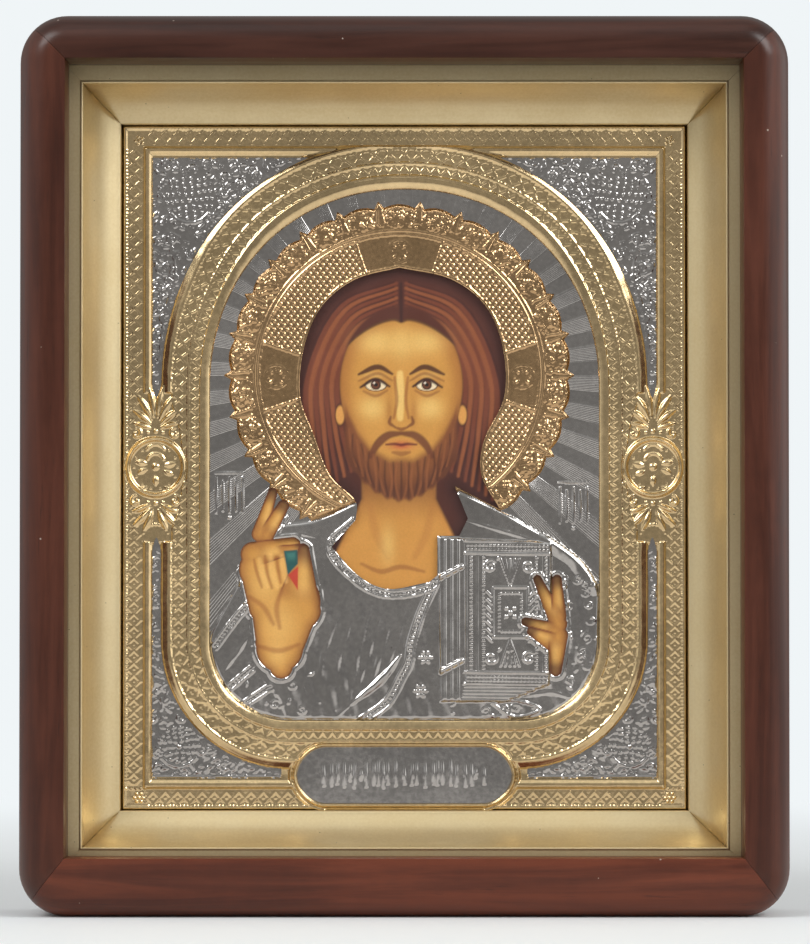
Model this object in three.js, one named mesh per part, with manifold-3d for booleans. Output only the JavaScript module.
// Icon panel: a painted board under a pressed silver-tone cover and a gold-tone border sheet,
// framed by a mitred gilt cove moulding inside a mitred, round-cornered wooden case.
// Millimetres, +Z up. The origin is under the middle of the case, and the picture faces -Y.
import * as THREE from "three";
import { mergeVertices } from "three/addons/utils/BufferGeometryUtils.js";
import Module from "manifold-3d";

const wasm = await Module();
wasm.setup();

// ---- Driving dimensions -------------------------------------------------------------------

const CASE = {
  width: 193,
  height: 226,
  depth: 38,
  cornerRadius: 12,
  sideRail: 12.05,
  topRail: 12,
  bottomRail: 15,
  roundOver: 7.5, // width of the rounding on the top and side rails
  bottomRoundOver: 10.5,
  roundOverDepth: 10,
  backEase: 1.5,
  lipDepth: 11.5, // front face to the step that holds the moulding
  wall: 7.5, // wood left outside the rebate
  bottomWall: 10.5,
  mitreGap: 0.03,
};
const ICON_CENTRE_Z = 113.3; // middle of the icon and of its moulding

const MOULDING = {
  front: -7.3, // y of the flat fillet
  back: 12.5,
  outerHalfWidth: 87.5,
  outerHalfHeight: 102.7,
  fillet: 5.8, // flat band, partly hidden behind the case lip
  bead: 0.8,
  beadRise: 0.45,
  cove: 7.7,
  coveBottom: 3.0, // y where the cove ends
  coveSag: 1.5,
  lip: 1.0,
  lipFront: 3.7,
  rebateFloor: 5.2, // y of the step that holds the board and its sheets
  rebateWidth: 3.2,
};

const BOARD = { width: 150, height: 180.6, front: 6.8, thickness: 5.6 };
const BACK_PANEL = { front: 12.8, thickness: 3, clearance: 0.4 };

const SHEET = { thickness: 0.4, gap: 0.05, width: 149.6, height: 180.2 };

// The arched opening of the gold sheet, in icon coordinates: x right, y up, from its middle.
const ARCH = {
  halfWidth: 49.65,
  rise: 51.2, // height of the rounded head above its springing
  fullness: 2.11, // exponent of the rounded head, 2 is an ellipse
  springing: 19.9,
  bottom: -64.5,
  cornerRadius: 20.5,
  bandWidth: 12.4,
};
const BORDER = { halfWidth: 72, halfHeight: 87.4, bandWidth: 7.6 };
const CORNER_OPENING = { halfWidth: 64.4, top: 79.2, bottom: -79.4, slitTop: 18.5, slitBottom: -18.1 };
const CARTOUCHE = { y: -78.5, halfWidth: 27.3, halfHeight: 7.1, rim: 1.1, endPower: 1.8 };
const ROSETTE = { x: 63.4, radius: 7.6, ring: 0.9 };
const HALO = { x: -1.3, y: 23.5, radius: 43.8, tipRadius: 45.4, groove: 36.5, petals: 26 };

// ---- Finishes -----------------------------------------------------------------------------

const lacqueredWood = new THREE.MeshStandardMaterial({
  name: "lacquered_wood",
  color: 0x4a2a20,
  roughness: 0.35,
  metalness: 0,
});
const giltMoulding = new THREE.MeshStandardMaterial({
  name: "gilt_moulding",
  color: 0xbda471,
  roughness: 0.4,
  metalness: 0.8,
});
const silverSheet = new THREE.MeshStandardMaterial({
  name: "silver_sheet",
  color: 0xb4b2ae,
  roughness: 0.2,
  metalness: 1,
});
const goldSheet = new THREE.MeshStandardMaterial({
  name: "gold_sheet",
  color: 0xc9a868,
  roughness: 0.2,
  metalness: 1,
});
const paintedBoard = new THREE.MeshStandardMaterial({
  name: "painted_board",
  color: 0xd09a4c,
  roughness: 0.5,
  metalness: 0,
});
const hardboard = new THREE.MeshStandardMaterial({
  name: "back_board",
  color: 0x6b4a34,
  roughness: 0.8,
  metalness: 0,
});

// ---- Solids -------------------------------------------------------------------------------

// Makes a solid of a closed geometry, turned right side out where its faces point inwards.
function toSolid(geometry) {
  const bare = geometry.index ? geometry.toNonIndexed() : geometry.clone();
  bare.deleteAttribute("normal");
  bare.deleteAttribute("uv");
  const merged = mergeVertices(bare, 1e-4);
  const vertProperties = new Float32Array(merged.attributes.position.array);
  const triVerts = new Uint32Array(merged.index.array);
  const solid = new wasm.Manifold(new wasm.Mesh({ numProp: 3, vertProperties, triVerts }));
  if (solid.volume() > 0) return solid;
  return new wasm.Manifold(
    new wasm.Mesh({ numProp: 3, vertProperties, triVerts: triVerts.slice().reverse() }),
  );
}

function toMesh(name, solid, material) {
  const made = solid.getMesh();
  const geometry = new THREE.BufferGeometry();
  geometry.setAttribute("position", new THREE.BufferAttribute(made.vertProperties, 3));
  geometry.setIndex(new THREE.BufferAttribute(made.triVerts, 1));
  geometry.computeVertexNormals();
  const mesh = new THREE.Mesh(geometry, material);
  mesh.name = name;
  return mesh;
}

// Joins closed loops of points into a ring-shaped body: each loop is stitched to the next,
// and the last to the first. Repeated points at a sharp corner make empty faces, left out.
function stitchLoops(loops) {
  const count = loops[0].length;
  const positions = [];
  const same = (a, b) => a.distanceToSquared(b) < 1e-10;
  const addFace = (a, b, c) => {
    if (same(a, b) || same(b, c) || same(c, a)) return;
    for (const p of [a, b, c]) positions.push(p.x, p.y, p.z);
  };
  loops.forEach((loop, k) => {
    const next = loops[(k + 1) % loops.length];
    for (let i = 0; i < count; i++) {
      const j = (i + 1) % count;
      addFace(loop[i], loop[j], next[j]);
      addFace(loop[i], next[j], next[i]);
    }
  });
  const geometry = new THREE.BufferGeometry();
  geometry.setAttribute("position", new THREE.Float32BufferAttribute(positions, 3));
  return geometry;
}

function extrude(outline, height, base = 0, bevel = 0) {
  const geometry = new THREE.ExtrudeGeometry(new THREE.Shape(outline), {
    depth: height - bevel,
    bevelEnabled: bevel > 0,
    bevelThickness: bevel,
    bevelSize: bevel,
    bevelOffset: -bevel,
    bevelSegments: 1,
    steps: 1,
    curveSegments: 8,
  });
  return geometry.translate(0, 0, base);
}

const point = (x, y) => new THREE.Vector2(x, y);

// A smooth closed or open curve through a few named points.
function smooth(points, divisions, closed = true) {
  const flat = points.map(([x, y]) => new THREE.Vector3(x, y, 0));
  const curve = new THREE.CatmullRomCurve3(flat, closed, "centripetal");
  const made = curve.getPoints(divisions);
  if (closed) made.pop();
  return made.map((p) => point(p.x, p.y));
}

// ---- Case: four mitred rails --------------------------------------------------------------

const FRONT = -CASE.depth / 2;
const BACK = CASE.depth / 2;
const OPENING = {
  halfWidth: CASE.width / 2 - CASE.sideRail,
  low: CASE.bottomRail,
  high: CASE.height - CASE.topRail,
};
const REBATE = {
  halfWidth: CASE.width / 2 - CASE.wall,
  low: CASE.bottomWall,
  high: CASE.height - CASE.wall,
};

// One loop round the case at depth y, with elliptical corners of the given radii.
function caseLoop({ halfWidth, low, high }, y, topRadius = [0, 0], bottomRadius = [0, 0]) {
  const steps = 8;
  const corners = [
    { x: 1, z: 1, radius: topRadius, from: 0 },
    { x: -1, z: 1, radius: topRadius, from: 90 },
    { x: -1, z: -1, radius: bottomRadius, from: 180 },
    { x: 1, z: -1, radius: bottomRadius, from: 270 },
  ];
  const loop = [];
  for (const corner of corners) {
    const [rx, rz] = corner.radius;
    const centreX = corner.x * (halfWidth - rx);
    const centreZ = corner.z > 0 ? high - rz : low + rz;
    for (let i = 0; i <= steps; i++) {
      const angle = THREE.MathUtils.degToRad(corner.from + (90 * i) / steps);
      loop.push(new THREE.Vector3(centreX + rx * Math.cos(angle), y, centreZ + rz * Math.sin(angle)));
    }
  }
  return loop;
}

function outerLoop(inset, bottomInset, y) {
  const r = CASE.cornerRadius;
  const size = {
    halfWidth: CASE.width / 2 - inset,
    low: bottomInset,
    high: CASE.height - inset,
  };
  return caseLoop(size, y, [r - inset, r - inset], [r - inset, r - bottomInset]);
}

function caseBody() {
  const lipBack = FRONT + CASE.lipDepth;
  const loops = [caseLoop(OPENING, FRONT)];
  const steps = 7;
  for (let i = 0; i <= steps; i++) {
    const angle = (i / steps) * (Math.PI / 2);
    const left = 1 - Math.sin(angle);
    const y = FRONT + CASE.roundOverDepth * (1 - Math.cos(angle));
    loops.push(outerLoop(CASE.roundOver * left, CASE.bottomRoundOver * left, y));
  }
  loops.push(outerLoop(0, 0, BACK - CASE.backEase));
  loops.push(outerLoop(CASE.backEase, CASE.backEase, BACK));
  loops.push(caseLoop(REBATE, BACK), caseLoop(REBATE, lipBack), caseLoop(OPENING, lipBack));
  return toSolid(stitchLoops(loops));
}

// The part of the case between two mitre lines, which run through the corners of the opening.
function railWedge(side) {
  const reach = 3;
  const draw = -1.2;
  const corner = (sx, top) => {
    const inner = point(sx * OPENING.halfWidth, top ? OPENING.high : OPENING.low);
    const outer = point((sx * CASE.width) / 2, top ? CASE.height : 0);
    return (t) => inner.clone().lerp(outer, t);
  };
  const ends = {
    top: [corner(-1, true), corner(1, true), point(0, CASE.mitreGap)],
    bottom: [corner(1, false), corner(-1, false), point(0, -CASE.mitreGap)],
    left: [corner(-1, false), corner(-1, true), point(-CASE.mitreGap, 0)],
    right: [corner(1, true), corner(1, false), point(CASE.mitreGap, 0)],
  };
  const [a, b, shift] = ends[side];
  const outline = [a(draw), b(draw), b(reach), a(reach)].map((p) => p.add(shift));
  const geometry = extrude(outline, CASE.depth + 4, -CASE.depth / 2 - 2);
  geometry.rotateX(Math.PI / 2);
  return toSolid(geometry);
}

const sides = ["top", "bottom", "left", "right"];

const caseGroup = new THREE.Group();
const wholeCase = caseBody();
for (const side of sides)
  caseGroup.add(toMesh("case_rail_" + side, wholeCase.intersect(railWedge(side)), lacqueredWood));

// ---- Gilt moulding: four mitred rails of one cove section ---------------------------------

// Section points: inward from the hidden outer edge, and y.
function mouldingSection() {
  const m = MOULDING;
  const points = [point(0, m.front), point(m.fillet, m.front)];
  for (const share of [0.25, 0.75]) points.push(point(m.fillet + share * m.bead, m.front - m.beadRise));
  const coveFrom = m.fillet + m.bead;
  const steps = 10;
  for (let i = 0; i <= steps; i++) {
    const t = i / steps;
    const sag = m.coveSag * 4 * t * (1 - t);
    points.push(point(coveFrom + t * m.cove - 0.7 * sag, m.front + t * (m.coveBottom - m.front) + 0.7 * sag));
  }
  const inner = coveFrom + m.cove + m.lip;
  points.push(point(inner - 0.3, m.lipFront));
  points.push(point(inner, m.lipFront + 0.5));
  points.push(point(inner, m.rebateFloor), point(inner - m.rebateWidth, m.rebateFloor));
  points.push(point(inner - m.rebateWidth, m.back), point(0, m.back));
  return points;
}

// A straight length of the section, its ends cut at 45 degrees, lying along X and facing -Y.
function mitredRail(section, halfLength, halfAcross) {
  const end = (sign) =>
    section.map(
      (p) => new THREE.Vector3(sign * (halfLength - p.x - CASE.mitreGap), p.y, halfAcross - p.x),
    );
  const positions = [];
  const addFace = (...corners) => corners.forEach((p) => positions.push(p.x, p.y, p.z));
  const start = end(-1);
  const finish = end(1);
  section.forEach((_, i) => {
    const j = (i + 1) % section.length;
    addFace(start[i], finish[i], finish[j]);
    addFace(start[i], finish[j], start[j]);
  });
  for (const [a, b, c] of THREE.ShapeUtils.triangulateShape(section, [])) {
    addFace(start[a], start[b], start[c]);
    addFace(finish[c], finish[b], finish[a]);
  }
  const geometry = new THREE.BufferGeometry();
  geometry.setAttribute("position", new THREE.Float32BufferAttribute(positions, 3));
  return geometry;
}

const mouldingGroup = new THREE.Group();
mouldingGroup.position.z = ICON_CENTRE_Z;
const quarterTurn = { top: 0, right: 1, bottom: 2, left: 3 };
for (const side of sides) {
  const upright = side === "left" || side === "right";
  const { outerHalfWidth, outerHalfHeight } = MOULDING;
  const along = upright ? outerHalfHeight : outerHalfWidth;
  const across = upright ? outerHalfWidth : outerHalfHeight;
  const solid = toSolid(mitredRail(mouldingSection(), along, across));
  const mesh = toMesh("gilt_moulding_" + side, solid, giltMoulding);
  mesh.rotation.y = (quarterTurn[side] * Math.PI) / 2;
  mouldingGroup.add(mesh);
}

// ---- Outlines on the icon -----------------------------------------------------------------

// The arched opening, moved outwards by an offset.
function archOutline(offset, steps = 36) {
  const { halfWidth, rise, fullness, springing, bottom, cornerRadius } = ARCH;
  const head = (angle) => {
    const c = Math.cos(angle);
    const s = Math.sin(angle);
    const radius = ((Math.abs(c) / halfWidth) ** fullness + (s / rise) ** fullness) ** (-1 / fullness);
    return point(radius * c, springing + radius * s);
  };
  const outline = [];
  const headSteps = steps / 2;
  for (let i = 0; i <= headSteps; i++) {
    const angle = (Math.PI * i) / headSteps;
    const before = head(Math.max(angle - 1e-3, 0));
    const after = head(Math.min(angle + 1e-3, Math.PI));
    const tangent = after.sub(before).normalize();
    outline.push(head(angle).add(point(tangent.y, -tangent.x).multiplyScalar(offset)));
  }
  const cornerSteps = steps / 6;
  for (const sign of [-1, 1])
    for (let i = 0; i <= cornerSteps; i++) {
      const turn = (Math.PI / 2) * (i / cornerSteps);
      const angle = sign < 0 ? Math.PI + turn : 1.5 * Math.PI + turn;
      const radius = cornerRadius + offset;
      const centreX = sign * (halfWidth - cornerRadius);
      outline.push(
        point(centreX + radius * Math.cos(angle), bottom + cornerRadius + radius * Math.sin(angle)),
      );
    }
  return outline;
}

// A bar with round ends drawn slightly to a point, moved outwards by an offset.
function cartoucheOutline(offset, steps = 8) {
  const { y, halfWidth, halfHeight, endPower } = CARTOUCHE;
  const radius = halfHeight + offset;
  const straight = halfWidth - halfHeight;
  const outline = [];
  for (const sign of [1, -1])
    for (let i = 0; i <= 2 * steps; i++) {
      const angle = (sign > 0 ? -Math.PI / 2 : Math.PI / 2) + (Math.PI * i) / (2 * steps);
      const c = Math.abs(Math.cos(angle)) ** (2 / endPower);
      const s = Math.abs(Math.sin(angle)) ** (2 / endPower) * Math.sign(Math.sin(angle));
      outline.push(point(sign * (straight + radius * c), y + radius * s));
    }
  return outline;
}

// A round-ended bar that tapers from one radius to another: a finger, a palm or a lock of hair.
function taperedBar([x1, y1, r1], [x2, y2, r2], steps = 8) {
  const heading = Math.atan2(y2 - y1, x2 - x1);
  const lean = Math.acos((r1 - r2) / Math.hypot(x2 - x1, y2 - y1));
  const outline = [];
  const arc = (x, y, r, from, to) => {
    for (let i = 0; i <= steps; i++) {
      const angle = from + ((to - from) * i) / steps;
      outline.push(point(x + r * Math.cos(angle), y + r * Math.sin(angle)));
    }
  };
  arc(x2, y2, r2, heading - lean, heading + lean);
  arc(x1, y1, r1, heading + lean, heading + 2 * Math.PI - lean);
  return outline;
}

// The hair and neck: the edge of the cut-out, clockwise from the top.
const headOutline = smooth(
  [
    [-1.3, 51], [12, 48], [20.5, 41.5], [24.9, 31.5], [25.5, 18], [20.2, 6.5], [19.6, -1.8],
    [24.4, -10.8],
  ],
  40,
  false,
).concat(
  [[12.8, -4.8], [16.2, -13.1], [14, -17.5], [8.4, -17.5], [8.4, -27.6]].map(([x, y]) => point(x, y)),
  smooth([[6.3, -29.3], [-4.8, -31], [-11.8, -27.6], [-18.6, -20.3]], 10, false),
  smooth([[-12.4, -13.4], [-12.3, -9], [-18.9, -2.3], [-23.2, 8.5], [-26.6, 18], [-25.4, 31.5],
    [-20.8, 41.5], [-12.5, 48], [-1.3, 51]], 30, false).slice(0, -1),
);

// Each bar runs from [x, y, radius] to [x, y, radius].
const blessingHand = [
  [[-37, -17, 2], [-33.6, -6.4, 1.2]], // first raised finger
  [[-35.3, -17.5, 2], [-30.9, -9.8, 1.5]], // second raised finger
  [[-38.6, -22.2, 3.2], [-28.6, -19.9, 2.1]], // folded fingers
  [[-37, -26, 5.2], [-32.5, -33, 8.2]], // knuckles
  [[-31.5, -24, 4.5], [-25.9, -20.8, 1.4]], // thumb tip
  [[-27.2, -36, 6], [-25.6, -21, 1.4]], // thumb
  [[-30.4, -34.5, 9], [-31.8, -46.2, 6]], // palm
  [[-31.8, -45, 6.2], [-31.4, -51, 2.9]], // wrist
];
const bookHand = [
  [[39.3, -40, 2.2], [33.9, -28.6, 1.1]],
  [[39.4, -38, 1.9], [38.9, -28.6, 1.2]],
  [[38.4, -41.8, 2.2], [30.9, -39.4, 1.1]],
  [[38.6, -45, 2.6], [32.4, -41.9, 1.2]],
  [[39.2, -43, 2.5], [38.6, -51.8, 1.5]],
];

function cutFrom(solid, outlines) {
  return outlines.reduce((left, outline) => left.subtract(toSolid(extrude(outline, 8, -3))), solid);
}

const figureOpenings = [
  headOutline,
  ...[...blessingHand, ...bookHand].map(([from, to]) => taperedBar(from, to)),
];

// ---- Relief shapes ------------------------------------------------------------------------

// A low dome of an oval or a leaf: lies at (x, y), turned by an angle, sunk to its middle.
function boss(x, y, length, width, height, angle = 0) {
  const geometry = new THREE.SphereGeometry(1, 6, 4);
  geometry.rotateX(Math.PI / 2);
  geometry.scale(length / 2, width / 2, height);
  geometry.rotateZ(angle);
  return toSolid(geometry.translate(x, y, SHEET.thickness - 0.05));
}

// A raised line along a curve through a few points.
function ridge(points, width, height, steps = 6) {
  const flat = points.map(([x, y]) => new THREE.Vector3(x, y, SHEET.thickness));
  const path = new THREE.CatmullRomCurve3(flat, false, "centripetal");
  const section = new THREE.Shape();
  const sides = 6;
  for (let i = 0; i < sides; i++) {
    const angle = (2 * Math.PI * i) / sides;
    const move = i === 0 ? "moveTo" : "lineTo";
    section[move](height * Math.cos(angle), (width / 2) * Math.sin(angle));
  }
  return toSolid(new THREE.ExtrudeGeometry(section, { steps, extrudePath: path }));
}

// Keeps what lies in front of a sheet's back face.
function aboveBack(solid) {
  return solid.intersect(toSolid(extrude(rectangle(100, -100, 100), 20)));
}

// A ring of raised section round an outline function: stations are [offset, height].
function raisedBand(outlineAt, stations) {
  const loops = stations.map(([offset, height]) =>
    outlineAt(offset).map((p) => new THREE.Vector3(p.x, p.y, height)),
  );
  return toSolid(stitchLoops(loops));
}

function rectangle(halfWidth, low, high) {
  return [point(-halfWidth, low), point(halfWidth, low), point(halfWidth, high), point(-halfWidth, high)];
}

// ---- Silver cover -------------------------------------------------------------------------

// Scalloped edge: round petals that meet in small outward tips.
function haloOutline() {
  const stepsPerPetal = 4;
  const outline = [];
  for (let i = 0; i < HALO.petals * stepsPerPetal; i++) {
    const share = (i % stepsPerPetal) / stepsPerPetal;
    const angle = Math.PI / 2 + ((i / stepsPerPetal + 0.5) * 2 * Math.PI) / HALO.petals;
    const swell = share === 0 ? HALO.tipRadius : HALO.radius - 1 + Math.sin(Math.PI * share);
    outline.push(point(HALO.x + swell * Math.cos(angle), HALO.y + swell * Math.sin(angle)));
  }
  return outline;
}

function circleOutline(x, y, radius, steps = 36) {
  return Array.from({ length: steps }, (_, i) => {
    const angle = (2 * Math.PI * i) / steps;
    return point(x + radius * Math.cos(angle), y + radius * Math.sin(angle));
  });
}

const robeOutline = [
  ...smooth([[-49.6, -43], [-47, -38], [-42, -29], [-33, -15.5], [-24, -13.8], [-12.4, -9]], 14, false),
  ...smooth([[14, -6], [26, -11.8], [37.5, -18.5], [45.5, -24.6], [49.6, -31]], 10, false),
  ...[[49.6, -64.4], [-49.6, -64.4]].map(([x, y]) => point(x, y)),
];
const bookOutline = [[8.6, -17.5], [15.2, -18.1], [37.6, -19.2], [37, -55.4], [26, -59.9], [9.1, -59.9]];

const folds = [
  [[-14.8, -32], [-17.5, -39], [-21, -49], [-21.5, -60]],
  [[-8, -33.5], [-11, -44], [-13.5, -56], [-13.8, -63]],
  [[-2, -33.5], [-5, -44], [-9.5, -56], [-17, -63.5]],
  [[8.2, -28.5], [2.6, -42.5], [0, -52], [-5, -60], [-12.5, -64]], // edge of the mantle
  [[-1, -47.9], [-5.4, -53.5], [-13.6, -60.4]],
  [[-46, -52], [-42.5, -47], [-39.5, -42.8]],
  [[-44, -55], [-38, -50.5]],
  [[-36.5, -53.5], [-32, -58], [-30, -63.5]],
  [[14, -13], [26, -16.5], [36, -19.5]],
  [[37.5, -18.5], [44, -23], [48.4, -30], [48.6, -42]],
  [[42.5, -31], [44, -44], [42, -55]],
  [[-12.6, -13.5], [-19, -20.3], [-12, -29.4], [-4.8, -33], [7.5, -30.5]], // neckline
];

function silverCover() {
  const inside = toSolid(extrude(archOutline(-0.6), 6, -1));
  const relief = [
    toSolid(extrude(haloOutline(), 0.75, 0.3, 0.3)),
    raisedBand((d) => circleOutline(HALO.x, HALO.y, HALO.groove + d), [
      [-0.5, 1], [0, 1.35], [0.5, 1], [0.5, 0.5], [-0.5, 0.5],
    ]),
    toSolid(extrude(robeOutline, 0.75, 0.3, 0.3)),
    toSolid(extrude(bookOutline.map(([x, y]) => point(x, y)), 1.25, 0.3, 0.3)),
    ...folds.map((points) => ridge(points, 1.3, 1.25)),
  ];
  for (let i = 0; i < HALO.petals; i++) {
    const angle = Math.PI / 2 + (i * 2 * Math.PI) / HALO.petals;
    const reach = (HALO.radius + HALO.groove) / 2 + 0.3;
    const x = HALO.x + reach * Math.cos(angle);
    const y = HALO.y + reach * Math.sin(angle);
    relief.push(boss(x, y, 5.2, 4.4, 1, angle));
  }
  const figure = relief.reduce((joined, solid) => joined.add(solid)).intersect(inside);
  let cover = toSolid(extrude(rectangle(SHEET.width / 2, -SHEET.height / 2, SHEET.height / 2), SHEET.thickness));
  cover = cover.add(figure);
  for (const sx of [-1, 1])
    for (const y of [70.4, -71]) {
      cover = cover.add(boss(sx * 55, y, 2.4, 2.4, 0.7));
      for (let petal = 0; petal < 6; petal++) {
        const angle = (petal * Math.PI) / 3;
        cover = cover.add(
          boss(sx * 55 + 2.6 * Math.cos(angle), y + 2.6 * Math.sin(angle), 2.6, 1.5, 0.6, angle),
        );
      }
    }
  return cutFrom(aboveBack(cover), figureOpenings);
}

// ---- Gold border --------------------------------------------------------------------------

// Everything between the arch band and the straight border, as four corner openings.
function cornerOpenings() {
  const { halfWidth, top, bottom, slitTop, slitBottom } = CORNER_OPENING;
  const band = toSolid(extrude(archOutline(ARCH.bandWidth), 8, -3));
  const made = [];
  for (const sx of [-1, 1]) {
    const box = (x1, x2, low, high) =>
      toSolid(extrude([point(x1, low), point(x2, low), point(x2, high), point(x1, high)], 8, -3));
    const ordered = (a, b) => [Math.min(a, b), Math.max(a, b)];
    const upper = box(...ordered(sx * halfWidth, sx * 24), slitTop, top);
    const lower = box(...ordered(sx * halfWidth, sx * 31.3), bottom, slitBottom);
    made.push(upper.subtract(band), lower.subtract(band));
  }
  return made;
}

// A border rectangle moved inwards, as the loop of four corners that a raised band needs.
const borderLoop = (inset) =>
  rectangle(BORDER.halfWidth - inset, inset - BORDER.halfHeight, BORDER.halfHeight - inset);

function rosette(sx) {
  const x = sx * ROSETTE.x;
  const parts = [
    raisedBand((d) => circleOutline(x, 0, ROSETTE.radius - d, 20), [
      [0, 0.2], [0.1, 1.6], [0.45, 2], [0.8, 1.6], [ROSETTE.ring, 0.2],
    ]),
    toSolid(extrude(circleOutline(x, 0, ROSETTE.radius - 0.4, 20), 0.9)),
    boss(x, 0, 2, 2, 1.9),
  ];
  for (let i = 0; i < 4; i++) {
    const angle = (i * Math.PI) / 2;
    parts.push(boss(x + 3.4 * Math.cos(angle), 3.4 * Math.sin(angle), 4.2, 3, 1.6, angle));
  }
  for (const sy of [-1, 1])
    for (const spread of [-50, -24, 0, 24, 50]) {
      const angle = Math.PI / 2 + THREE.MathUtils.degToRad(spread);
      const reach = 13.2 - Math.abs(spread) / 30;
      parts.push(
        boss(x + 0.55 * reach * Math.cos(angle), sy * reach * Math.sin(angle), 6.6, 2.3, 1.5, sy * angle),
      );
    }
  return parts.reduce((joined, solid) => joined.add(solid));
}

function giltBorder() {
  let border = toSolid(extrude(rectangle(SHEET.width / 2, -SHEET.height / 2, SHEET.height / 2), SHEET.thickness));
  for (const opening of cornerOpenings()) border = border.subtract(opening);
  const straight = [
    [0.2, 0.2], [0.25, 0.9], [0.7, 1.3], [1.15, 0.9], [1.3, 0.7], [5.2, 0.7],
    [5.6, 1], [6.2, 1.4], [6.9, 1], [BORDER.bandWidth, 0.45], [BORDER.bandWidth, 0.2],
  ];
  const arched = [
    [0, 0.2], [0.05, 0.5], [2.3, 1.3], [2.7, 1.4], [3.1, 1], [6, 1], [6.4, 1.35], [6.9, 1],
    [10.4, 1.05], [10.9, 1.5], [11.5, 1.75], [12.1, 1.5], [ARCH.bandWidth, 0.5], [ARCH.bandWidth, 0.2],
  ];
  border = border.add(raisedBand(borderLoop, straight));
  border = border.subtract(toSolid(extrude(archOutline(ARCH.bandWidth - 1), 8, 0.5)));
  border = border.add(raisedBand(archOutline, arched));
  border = border.add(rosette(-1)).add(rosette(1));
  border = border.add(toSolid(extrude(cartoucheOutline(CARTOUCHE.rim + 0.6), 1)));
  border = border.add(
    raisedBand(cartoucheOutline, [[0, 0.2], [0.1, 1.6], [0.5, 2], [CARTOUCHE.rim, 1.6], [1.3, 0.2]]),
  );
  return cutFrom(aboveBack(border), [archOutline(0), cartoucheOutline(0)]);
}

// ---- Assembly -----------------------------------------------------------------------------

// The sheets are drawn flat, face up, then stood up with their relief towards -Y.
const sheets = new THREE.Group();
sheets.position.z = ICON_CENTRE_Z;
sheets.rotation.x = Math.PI / 2;
const silver = toMesh("silver_cover", silverCover(), silverSheet);
silver.position.z = -(BOARD.front - SHEET.gap);
const gilt = toMesh("gilt_border", giltBorder(), goldSheet);
gilt.position.z = -(BOARD.front - 2 * SHEET.gap - SHEET.thickness);
sheets.add(silver, gilt);

function slab(name, width, height, thickness, front, centreZ, material) {
  const mesh = new THREE.Mesh(new THREE.BoxGeometry(width, thickness, height), material);
  mesh.name = name;
  mesh.position.set(0, front + thickness / 2, centreZ);
  return mesh;
}

const part = new THREE.Group();
part.name = "icon_panel";
part.add(caseGroup, mouldingGroup, sheets);
part.add(
  slab(
    "icon_board",
    BOARD.width,
    BOARD.height,
    BOARD.thickness,
    BOARD.front,
    ICON_CENTRE_Z,
    paintedBoard,
  ),
);
part.add(
  slab(
    "back_panel",
    2 * (REBATE.halfWidth - BACK_PANEL.clearance),
    REBATE.high - REBATE.low - 2 * BACK_PANEL.clearance,
    BACK_PANEL.thickness,
    BACK_PANEL.front,
    (REBATE.high + REBATE.low) / 2,
    hardboard,
  ),
);

export default part;
